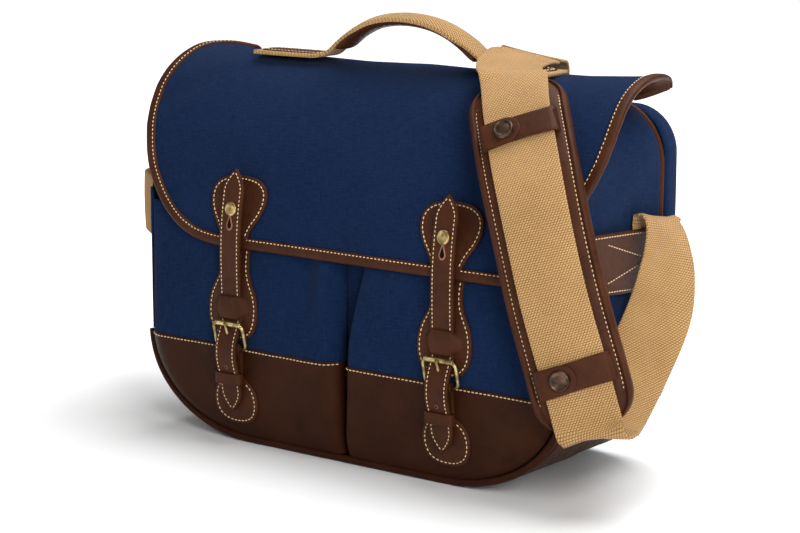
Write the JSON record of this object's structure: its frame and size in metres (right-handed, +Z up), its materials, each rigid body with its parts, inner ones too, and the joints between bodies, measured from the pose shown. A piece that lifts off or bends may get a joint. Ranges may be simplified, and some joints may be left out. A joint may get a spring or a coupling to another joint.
{
  "type": "messenger bag",
  "caption": "Canvas and leather messenger bag with a full front flap, two buckled strap closures, front pockets, a top carry handle and a padded shoulder strap.",
  "frame": {"origin": "middle of the flat bottom the bag stands on", "axes": "+Z up from the bottom, +X along the bag's width, -Y towards the front with the flap's two closures"},
  "size_m": [0.5306, 0.2097, 0.343],
  "materials": {
    "navy_canvas": "matt heavy canvas",
    "lining": "matt padded cotton",
    "dark_leather": "satin, worn",
    "brown_leather": "satin, worn",
    "tan_webbing": "matt woven webbing",
    "aged_brass": "aged, satin",
    "bronze": "dark, satin"
  },
  "bodies": {
    "bag_body": {"base_leather": "dark_leather", "side_gusset_left": "navy_canvas", "side_gusset_right": "navy_canvas", "front_panel": "navy_canvas", "back_panel": "navy_canvas", "padded_lining": "lining", "front_piping": "brown_leather", "back_piping": "brown_leather", "pocket_leather_left": "dark_leather", "pocket_leather_right": "dark_leather", "pocket_canvas_left": "navy_canvas", "pocket_canvas_right": "navy_canvas", "back_pocket": "navy_canvas", "zip_chain": "aged_brass", "closure_strap_left": "brown_leather", "closure_strap_right": "brown_leather", "strap_guide_left": "brown_leather", "strap_guide_right": "brown_leather", "buckle_chape_left": "brown_leather", "buckle_chape_right": "brown_leather", "strap_keeper_left": "brown_leather", "strap_keeper_right": "brown_leather", "side_tab_left": "brown_leather", "side_tab_right": "brown_leather", "webbing_loop_right": "tan_webbing", "webbing_over_rear": "tan_webbing", "webbing_back": "tan_webbing"},
    "flap": {"flap_panel": "navy_canvas", "flap_binding": "brown_leather", "flap_patch_left": "brown_leather", "flap_patch_right": "brown_leather", "closure_stud_left": "aged_brass", "closure_stud_right": "aged_brass", "handle_tail_left": "brown_leather", "handle_tail_right": "brown_leather", "shoulder_pad": "brown_leather", "webbing_front": "tan_webbing", "pad_keeper_anchors": "brown_leather"},
    "handle": {"handle_webbing": "tan_webbing", "handle_grip": "brown_leather"},
    "closure_left": {"closure_tip_left": "brown_leather"},
    "closure_right": {"closure_tip_right": "brown_leather"},
    "buckle_left": {"buckle_frame_left": "aged_brass"},
    "buckle_right": {"buckle_frame_right": "aged_brass"},
    "prong_left": {"buckle_prong_left": "aged_brass"},
    "prong_right": {"buckle_prong_right": "aged_brass"},
    "keeper_upper": {"pad_keeper_upper": "brown_leather", "pad_snap_upper": "bronze"},
    "keeper_lower": {"pad_keeper_lower": "brown_leather", "pad_snap_lower": "bronze"},
    "slider": {"zip_slider": "aged_brass"},
    "puller": {"zip_puller": "aged_brass"}
  },
  "joints": [
    {"name": "flap_open", "type": "hinge", "parent": "bag_body", "child": "flap", "pos_m": [0, 0.05, 0.291], "axis": [-1, 0, 0], "range_deg": [0, 75], "deforming": ["webbing_loop_right", "webbing_over_rear"]},
    {"name": "closure_left", "type": "hinge", "parent": "bag_body", "child": "closure_left", "pos_m": [-0.104, -0.104, 0.113], "axis": [1, 0, 0], "range_deg": [0, 150]},
    {"name": "closure_right", "type": "hinge", "parent": "bag_body", "child": "closure_right", "pos_m": [0.104, -0.104, 0.113], "axis": [1, 0, 0], "range_deg": [0, 150]},
    {"name": "buckle_left", "type": "hinge", "parent": "bag_body", "child": "buckle_left", "pos_m": [-0.104, -0.0914, 0.08], "axis": [1, 0, 0], "range_deg": [0, 20]},
    {"name": "prong_left", "type": "hinge", "parent": "buckle_left", "child": "prong_left", "pos_m": [-0.104, -0.0914, 0.08], "axis": [1, 0, 0], "range_deg": [0, 30]},
    {"name": "buckle_right", "type": "hinge", "parent": "bag_body", "child": "buckle_right", "pos_m": [0.104, -0.0914, 0.08], "axis": [1, 0, 0], "range_deg": [0, 20]},
    {"name": "prong_right", "type": "hinge", "parent": "buckle_right", "child": "prong_right", "pos_m": [0.104, -0.0914, 0.08], "axis": [1, 0, 0], "range_deg": [0, 30]},
    {"name": "handle_tilt", "type": "hinge", "parent": "flap", "child": "handle", "pos_m": [0, -0.001, 0.311], "axis": [1, 0, 0], "range_deg": [-25, 25]},
    {"name": "keeper_upper_open", "type": "hinge", "parent": "flap", "child": "keeper_upper", "pos_m": [0.18385, -0.06249, 0.28458], "axis": [-0.4978, 0.4666, 0.7311], "range_deg": [0, 150]},
    {"name": "keeper_lower_open", "type": "hinge", "parent": "flap", "child": "keeper_lower", "pos_m": [0.25198, -0.09014, 0.11633], "axis": [-0.3064, -0.0323, 0.9514], "range_deg": [0, 150]},
    {"name": "zip_slide", "type": "slide", "parent": "bag_body", "child": "slider", "axis": [1, 0, 0], "range_m": [0, 0.17]},
    {"name": "zip_pull", "type": "hinge", "parent": "slider", "child": "puller", "pos_m": [-0.138, 0.08045, 0.2524], "axis": [1, 0, 0], "range_deg": [0, 90]}
  ],
  "couplings": [
    {"joint": "closure_left", "follows": "flap_open", "ratio": 2},
    {"joint": "closure_right", "follows": "flap_open", "ratio": 2}
  ]
}
